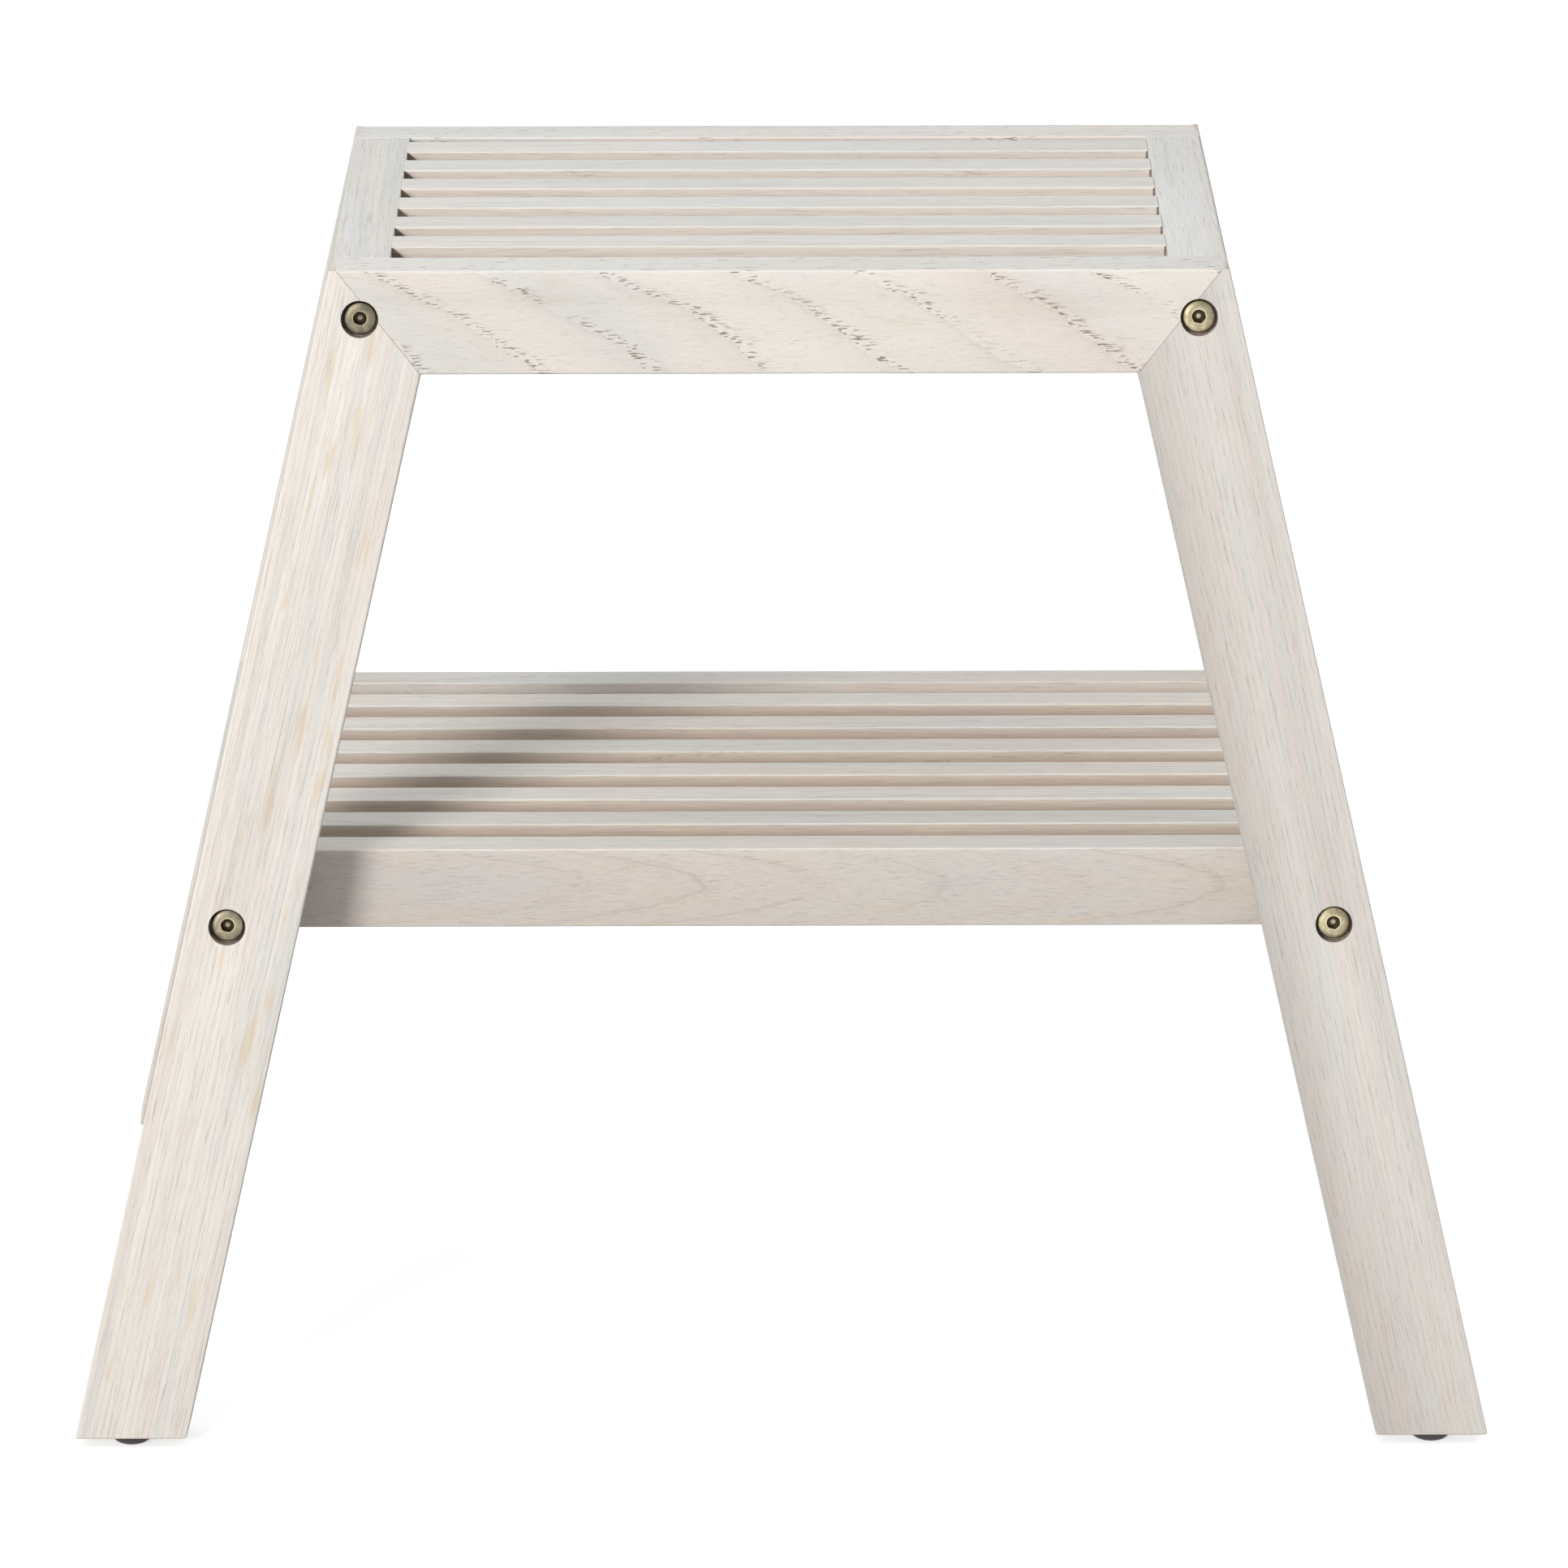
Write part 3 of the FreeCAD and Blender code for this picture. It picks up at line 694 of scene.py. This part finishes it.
def lay_in_log(mesh, axes, cut, side_shade):
    """Write each point's place in the log and all the marks of its board."""
    along, across, through = axes
    centre = sum((vert.co for vert in mesh.vertices), Vector()) / len(mesh.vertices)
    turn = math.radians(cut["cant"])
    slowness = RING_WIDTH / cut["ring"]
    places = []
    for vert in mesh.vertices:
        offset = (vert.co - centre) / MM
        a, b, t = offset.dot(along), offset.dot(across), offset.dot(through)
        outwards = b * math.sin(turn) + t * math.cos(turn) + cut["runout"] * a
        sideways = b * math.cos(turn) - t * math.sin(turn)
        places += [a + cut["start"], sideways * slowness, (cut["heart"] + outwards) * slowness]
    write_mark(mesh, "log", places)
    write_mark(mesh, "board", [cut["grey"], cut["pores"], cut["stain"]] * len(mesh.vertices))
    write_mark(mesh, "gap", gap_places(mesh))
    mark_surfaces(mesh, along, through, side_shade)


print("fine rings make a board larger by", round(RING_WIDTH / FINE_RING, 2))

# %% [markdown]
# Now the steps come together. The CAD node is copied, eased and laid in the log, and the new
# board stands for the node from then on.

# %% A finished board
def sawn_board(node, arris, cut, side_shade=0.0):
    """Make the finished board that stands for one CAD node."""
    piece_shape = copied_shape(node)
    axes = board_axes(piece_shape)
    counts = ease_edges(piece_shape, axes[0], arris)
    mesh = bevelled_mesh("oak_" + node, piece_shape, arris)
    lay_in_log(mesh, axes, cut, side_shade)
    mesh.materials.clear()
    mesh.materials.append(frame_oak)
    piece = bpy.data.objects.new("oak_" + node, mesh)
    scene.collection.objects.link(piece)
    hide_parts(node)
    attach(piece, "root")
    print(piece.name, counts, "faces", len(mesh.polygons))


print("CAD nodes to dress:", len(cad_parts))

# %% [markdown]
# ## The two leaning frames
#
# Each frame is two splayed legs and an apron, mitred at the top corners. The front apron is
# nearly plain-sawn with a strong runout, so that its rows of pores slant down to the right.
# The legs are closer to quarter-sawn and show fine straight lines. The left one dried creamy
# and the right one greyer.

# %% Frames
FRAME_ARRIS = 0.8 * MM
FRAME_CUTS = {
    "front_left_leg": dict(cant=66, runout=0.004, heart=260, ring=FINE_RING,
                           start=2100, grey=0.10, pores=0.20, stain=0.75),
    "front_right_leg": dict(cant=82, runout=0.003, heart=280, ring=2.4,
                            start=3300, grey=0.68, pores=0.30, stain=0.10),
    "front_apron": dict(cant=8.4, runout=0.0746, heart=420, ring=RING_WIDTH,
                        start=400, grey=0.15, pores=1.0, stain=0.25),
    "rear_left_leg": dict(cant=74, runout=0.005, heart=130, ring=2.6,
                          start=4100, grey=0.45, pores=0.30, stain=0.30),
    "rear_right_leg": dict(cant=58, runout=-0.008, heart=110, ring=2.6,
                           start=5200, grey=0.30, pores=0.30, stain=0.40),
    "rear_apron": dict(cant=12, runout=-0.030, heart=300, ring=RING_WIDTH,
                       start=6300, grey=0.80, pores=0.90, stain=0.30),
}
for node, cut in FRAME_CUTS.items():
    sawn_board(node, FRAME_ARRIS, cut)
print("frame boards", len(FRAME_CUTS))

# %% [markdown]
# ## End boards, slats and rails
#
# The end boards close the seat and the shelf at both sides, and the slats and rails are
# tenoned into them. Real slats are ripped from whatever is on the rack, so their cuts are
# drawn at random, from a generator with a fixed seed that gives the same rack on every run.
# The front rail was cut close to the heart of its tree, so arches run along its face. The
# shelf's slats get more painted shade on their sides than the seat's, and the rails a little.

# %% End boards, slats and rails
SLAT_ARRIS = 0.7 * MM
SLAT_COUNT = 6
SIDE_SHADE = {"seat": 0.5, "shelf": 1.15}
RAIL_SIDE_SHADE = 0.3
SLAT_GREYS = {"seat": (0.2, 0.7), "shelf": (0.25, 0.75)}
END_BOARD_GREYS = (0.7, 1.0)
REAR_RAIL_GREYS = (0.4, 0.9)
FRONT_RAIL_CUT = dict(cant=3, runout=0.045, heart=34, ring=FINE_RING,
                      start=900, grey=0.50, pores=0.20, stain=0.35)
rack = random.Random(41)


def from_the_rack(palest, greyest):
    """Draw one cut at random."""
    return dict(cant=rack.uniform(5, 85), runout=rack.uniform(-0.02, 0.02),
                heart=rack.uniform(120, 400), ring=rack.uniform(FINE_RING, 3.2),
                start=rack.uniform(7000, 30000), grey=rack.uniform(palest, greyest),
                pores=rack.uniform(0.10, 0.45), stain=rack.uniform(0.0, 0.2))


for level in ("seat", "shelf"):
    for side in ("left", "right"):
        sawn_board(f"{level}_{side}_end_board", FRAME_ARRIS,
                   from_the_rack(*END_BOARD_GREYS))
    for number in range(1, SLAT_COUNT + 1):
        sawn_board(f"{level}_slat_{number}", SLAT_ARRIS,
                   from_the_rack(*SLAT_GREYS[level]), SIDE_SHADE[level])
sawn_board("shelf_front_rail", SLAT_ARRIS, FRONT_RAIL_CUT, RAIL_SIDE_SHADE)
sawn_board("shelf_rear_rail", SLAT_ARRIS,
           from_the_rack(*REAR_RAIL_GREYS), RAIL_SIDE_SHADE)
print("slats", SLAT_COUNT * len(SIDE_SHADE))

# %% [markdown]
# ## Bolts, nuts, dowels and glides
#
# The round pieces would be turned on a lathe, and `turned` does the same: it spins a list of
# rings round an axis. A ring's radius is a number, or a function of the angle where the ring
# isn't round, which is how the head gets a real hexagon socket for its key. The places and
# directions are read from the CAD nodes. The attribute `lathe` keeps each point's radius and
# height in millimetres and how much painted shine the piece gets, so that its patina and its
# painted shine can follow its shape.

# %% The lathe
LATHE_SIDES = 72
CREASE = math.radians(28)


def turned(name, foot, axis, rings, painted_shine):
    """Spin rings, each a height and a radius, round an axis into a closed piece."""
    side = axis.orthogonal().normalized()
    other = axis.cross(side)
    shape = bmesh.new()
    loops = []
    lathe = []
    for height, radius in rings:
        loop = []
        for step in range(LATHE_SIDES):
            angle = 2 * math.pi * step / LATHE_SIDES
            reach = radius(angle) if callable(radius) else radius
            sideways = side * math.cos(angle) + other * math.sin(angle)
            loop.append(shape.verts.new(foot + axis * height + sideways * reach))
            lathe += [reach / MM, height / MM, painted_shine]
        loops.append(loop)
    for lower, upper in zip(loops, loops[1:]):
        for step in range(LATHE_SIDES):
            after = (step + 1) % LATHE_SIDES
            shape.faces.new((lower[step], lower[after], upper[after], upper[step]))
    shape.faces.new(loops[0])
    shape.faces.new(loops[-1])
    bmesh.ops.recalc_face_normals(shape, faces=shape.faces)
    for face in shape.faces:
        face.smooth = True
    for edge in shape.edges:
        edge.smooth = edge.calc_face_angle(0) < CREASE
    piece = new_object(name, shape)
    write_mark(piece.data, "lathe", lathe)
    return piece


def stand_for(piece, node, finish):
    """Give a turned piece its finish and let it stand for its CAD node."""
    piece.data.materials.append(finish)
    if node:
        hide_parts(node)
    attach(piece, "root")


print("sides of a turned piece", LATHE_SIDES)

# %% [markdown]
# The bolts are brass under an old bronze patina. The rim of the socket is painted bright, partly
# as polish from the key and partly as a painted glint. The socket is painted dark, partly as dirt
# and partly as painted shade, and the outer bevel carries painted shade. Fine rings are left by
# turning. The radii in the formulas are in millimetres: the socket ends at about 2.5, and the
# bevel starts at 5.5.

# %% Antique brass
def antique_brass():
    """Brass under a brown patina: a glint is painted round the socket and shade in it."""
    material, brass = new_finish("antique_brass")
    lathe = brass.mark("lathe", "Vector")
    radius = brass.part(lathe, "X")
    painted_shine = brass.part(lathe, "Z")
    blotch = brass.cloud(brass.object_place(), (2.2 * MM, 2.2 * MM, 2.2 * MM), 3)
    marks = brass.cloud(lathe, (0.12, 50, 50), 2)
    # the socket's rim is painted bright: partly polish from the key, partly a painted glint
    rim = radius.fade(1.9, 2.2) * (1 - radius.fade(2.7, 3.2))
    # brighter brass: random patina blotches, the rim's painted glint and each bolt's painted shine
    shade_and_shine = (blotch.fade(0.42, 0.62) * 0.35 + rim * 0.8) * (painted_shine * 0.6 + 0.4) + painted_shine * 0.45
    colour = brass.mix(shade_and_shine, paint(128, 121, 106), paint(234, 220, 180))
    # the socket is painted dark: partly dirt, partly painted shade
    socket_dirt_and_shade = (1 - radius.fade(2.40, 2.56)) * radius.fade(0.6, 1.1)
    colour = brass.mix(socket_dirt_and_shade * 0.92, colour, paint(44, 32, 24))
    # painted shade on the outer bevel
    colour = brass.mix(radius.fade(5.5, 6.2) * 0.55, colour, paint(62, 48, 36))
    roughness = 0.36 - shade_and_shine * 0.12 + marks * 0.08
    bump_sockets = {"Strength": 0.5, "Distance": 0.05 * MM, "Height": marks}
    bump = brass.add("ShaderNodeBump", {}, bump_sockets)
    finish_surface(brass, {"Base Color": colour, "Roughness": roughness, "Metallic": 1.0,
                           "Normal": bump})
    return material


brass_finish = antique_brass()
print("brass nodes:", len(brass_finish.node_tree.nodes))

# %% [markdown]
# A furniture connector bolt has a wide flat head, bevelled at its rim and sunk in a
# counterbore, and a thread that runs into a barrel nut inside the end board. The head is
# crowned by a third of a millimetre, as polishing leaves it, which spreads the glint. The
# bolts on the right are painted brighter than those on the left, as a painted reflection.

# %% Connector bolts
SOCKET_HALF = 2.0 * MM
SOCKET_RIM = 1.32 * SOCKET_HALF
SOCKET_DEEP = 2.0 * MM
SOCKET_EASE = 0.25 * MM
HEAD_TALL = 3.0 * MM
HEAD_BEVEL = 0.8 * MM
HEAD_STEPS = 4
CROWN = 0.32 * MM
SHANK_RADIUS = 3.0 * MM
THREAD_LONG = 26 * MM
THREAD_PITCH = 1.0 * MM
THREAD_DEEP = 0.45 * MM


def hexagon(half):
    """Radius of a hexagon at any angle, from half its width across the flats."""
    sixth = math.pi / 3
    return lambda angle: half / math.cos(angle % sixth - sixth / 2)


def connector_bolt_rings(length, head_radius):
    """Rings of a bolt, from the floor of its socket round the head to the tip of the thread."""
    rings = [(-SOCKET_DEEP, 0.3 * SOCKET_HALF), (-SOCKET_DEEP, hexagon(SOCKET_HALF)),
             (-CROWN - SOCKET_EASE, hexagon(SOCKET_HALF)), (-CROWN * 0.2, SOCKET_RIM)]
    flat_edge = head_radius - HEAD_BEVEL
    for share in (0.3, 0.5, 0.7, 0.85, 1.0):
        radius = SOCKET_RIM + share * (flat_edge - SOCKET_RIM)
        rings.append((-CROWN * share ** 2, radius))
    for step in range(1, HEAD_STEPS + 1):
        angle = math.pi / 2 * step / HEAD_STEPS
        rings.append((-CROWN - (HEAD_BEVEL - CROWN) * (1 - math.cos(angle)),
                      flat_edge + HEAD_BEVEL * math.sin(angle)))
    rings += [(-HEAD_TALL, head_radius), (-HEAD_TALL, SHANK_RADIUS)]
    thread_start = -length + THREAD_LONG
    for turn in range(int(THREAD_LONG / THREAD_PITCH)):
        crest = thread_start - turn * THREAD_PITCH
        rings += [(crest, SHANK_RADIUS), (crest - THREAD_PITCH / 2, SHANK_RADIUS - THREAD_DEEP)]
    rings.append((-length, SHANK_RADIUS - THREAD_DEEP * 2))
    return rings


# how much brighter each bolt's brass is painted, as a painted reflection
PAINTED_SHINE = {"seat_left": 0.0, "shelf_left": 0.25, "seat_right": 0.85, "shelf_right": 0.85}
for frame_side, outwards in OUTWARDS.items():
    for side in ("left", "right"):
        for level in ("seat", "shelf"):
            node = f"{level}_bolt_{frame_side}_{side}"
            painted_shine = PAINTED_SHINE[f"{level}_{side}"]
            head, length, head_radius = node_axis(node, outwards)
            rings = connector_bolt_rings(length, head_radius)
            bolt = turned("brass_" + node, head, outwards, rings, painted_shine)
            stand_for(bolt, node, brass_finish)
print("bolt length mm", round(length / MM, 1), "head radius mm", round(head_radius / MM, 2))

# %% [markdown]
# Under each foot is a nail-on glide: a dark domed button with a nail through its middle. It is
# made as two pieces, the button with its countersink and the nail in it, because the nail is
# steel and the button is nylon. The finishes come first: nylon scuffs where it slides, and
# zinc plating has a faint crystal mottle.

# %% Dark nylon and plated steel
def dark_nylon():
    """Brown-black nylon, slightly scuffed where it slides."""
    material, nylon = new_finish("dark_nylon")
    place = nylon.object_place()
    height = nylon.part(nylon.mark("lathe", "Vector"), "Y")
    pebble = nylon.cloud(place, (0.7 * MM, 0.7 * MM, 0.7 * MM), 2)
    scratch = nylon.cloud(place, (4 * MM, 0.25 * MM, 1 * MM), 2).fade(0.60, 0.72)
    scuff = scratch * (1 - height.fade(0.2, 1.2))
    colour = nylon.mix(pebble, paint(52, 46, 48), paint(70, 62, 64))
    colour = nylon.mix(scuff * 0.6, colour, paint(128, 120, 118))
    roughness = 0.40 + pebble * 0.15 + scuff * 0.2
    bump_sockets = {"Strength": 0.4, "Distance": 0.08 * MM, "Height": pebble - scuff}
    bump = nylon.add("ShaderNodeBump", {}, bump_sockets)
    finish_surface(nylon, {"Base Color": colour, "Roughness": roughness, "Normal": bump})
    return material


def zinc_steel():
    """Bright zinc-plated steel with a faint crystal mottle."""
    material, steel = new_finish("zinc_steel")
    place = steel.object_place()
    mottle = steel.cloud(place, (1.6 * MM, 1.6 * MM, 1.6 * MM), 3)
    drawn = steel.cloud(place, (0.15 * MM, 0.15 * MM, 6 * MM), 2)
    colour = steel.mix(mottle, paint(170, 172, 176), paint(204, 205, 206))
    roughness = 0.28 + mottle * 0.16 + drawn * 0.08
    bump_sockets = {"Strength": 0.3, "Distance": 0.04 * MM, "Height": drawn}
    bump = steel.add("ShaderNodeBump", {}, bump_sockets)
    finish_surface(steel, {"Base Color": colour, "Roughness": roughness, "Metallic": 1.0,
                           "Normal": bump})
    return material


nylon_finish = dark_nylon()
steel_finish = zinc_steel()
print("finishes:", nylon_finish.name, steel_finish.name)

# %% [markdown]
# The button is turned from its countersink round its dome to the flat top that meets the foot,
# and the nail from its head up to its point. The nail's head sits inside the countersink, so
# that it never touches the floor.

# %% Glides
UP = Vector((0, 0, 1))
GLIDE_TALL = 4.0 * MM
GLIDE_ROUND = 3.0 * MM
SINK_RADIUS = 2.6 * MM
SINK_DEEP = 1.0 * MM
SINK_LIP = 0.15 * MM
SINK_EASE = 0.3 * MM
TOP_EASE = 0.1 * MM
DOME_STEPS = 8
NAIL_HEAD = 2.3 * MM
NAIL_RADIUS = 1.25 * MM
NAIL_POINT = 2 * MM


def glide_rings(radius):
    """Rings of the button, from its countersink round the dome to its flat top."""
    rings = [(SINK_DEEP, 0.5 * SINK_RADIUS), (SINK_DEEP, SINK_RADIUS),
             (SINK_LIP, SINK_RADIUS), (0, SINK_RADIUS + SINK_EASE)]
    for step in range(DOME_STEPS + 1):
        angle = math.pi / 2 * step / DOME_STEPS
        inset = GLIDE_ROUND * (1 - math.sin(angle))
        rings.append((GLIDE_ROUND * (1 - math.cos(angle)), radius - inset))
    rings += [(GLIDE_TALL - TOP_EASE, radius), (GLIDE_TALL, radius - TOP_EASE)]
    return rings


def nail_rings(length):
    """Rings of the nail, from its slightly domed head to its point."""
    return [(0.35 * MM, 0.5 * NAIL_HEAD), (0.40 * MM, 0.85 * NAIL_HEAD), (0.6 * MM, NAIL_HEAD),
            (SINK_DEEP, NAIL_HEAD), (SINK_DEEP, NAIL_RADIUS), (length - NAIL_POINT, NAIL_RADIUS),
            (length, 0.2 * NAIL_RADIUS)]


for frame_side in ("front", "rear"):
    for side in ("left", "right"):
        node = f"glide_{frame_side}_{side}"
        top, length, radius = node_axis(node, UP)
        foot = top - UP * length
        button = turned("nylon_" + node, foot, UP, glide_rings(radius), 0)
        stand_for(button, node, nylon_finish)
        nail = turned("steel_nail_" + node, foot, UP, nail_rings(length), 0)
        stand_for(nail, None, steel_finish)
print("glide radius mm", round(radius / MM, 2), "with nail mm", round(length / MM, 1))

# %% [markdown]
# The barrel nuts and the mitre dowels sit inside the wood, and their CAD shapes are already
# right, so the nodes stay as they are and only get a finish: plated steel for the nuts, and
# bare beech with its short brown rays for the dowels.

# %% Nuts and dowels
def bare_beech():
    """Unfinished beech: pale pinkish tan with many short dark rays."""
    material, beech = new_finish("bare_beech")
    place = beech.object_place()
    ray_noise = beech.cloud(place, (0.5 * MM, 0.5 * MM, 2.4 * MM), 1)
    rays = ray_noise.fade(0.60, 0.70)
    tone = beech.cloud(place, (4 * MM, 4 * MM, 30 * MM), 2)
    colour = beech.mix(tone, paint(214, 180, 146), paint(226, 198, 168))
    colour = beech.mix(rays * 0.6, colour, paint(168, 124, 92))
    roughness = 0.62 + rays * 0.1
    bump_sockets = {"Strength": 0.4, "Distance": 0.06 * MM, "Height": 0 - rays}
    bump = beech.add("ShaderNodeBump", {}, bump_sockets)
    finish_surface(beech, {"Base Color": colour, "Roughness": roughness, "Normal": bump})
    return material


beech_finish = bare_beech()
KEPT_FINISHES = {"barrel_nut": steel_finish, "mitre_dowel": beech_finish}
kept = 0
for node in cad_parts:
    for kind, finish in KEPT_FINISHES.items():
        if kind in node:
            for slot in bpy.data.objects[node].material_slots:
                slot.material = finish
            kept += 1
print("CAD nodes that stay:", kept)

# %% [markdown] Easing an edge only takes wood away, so the box of the finished bench
# lies inside the box of the CAD model.
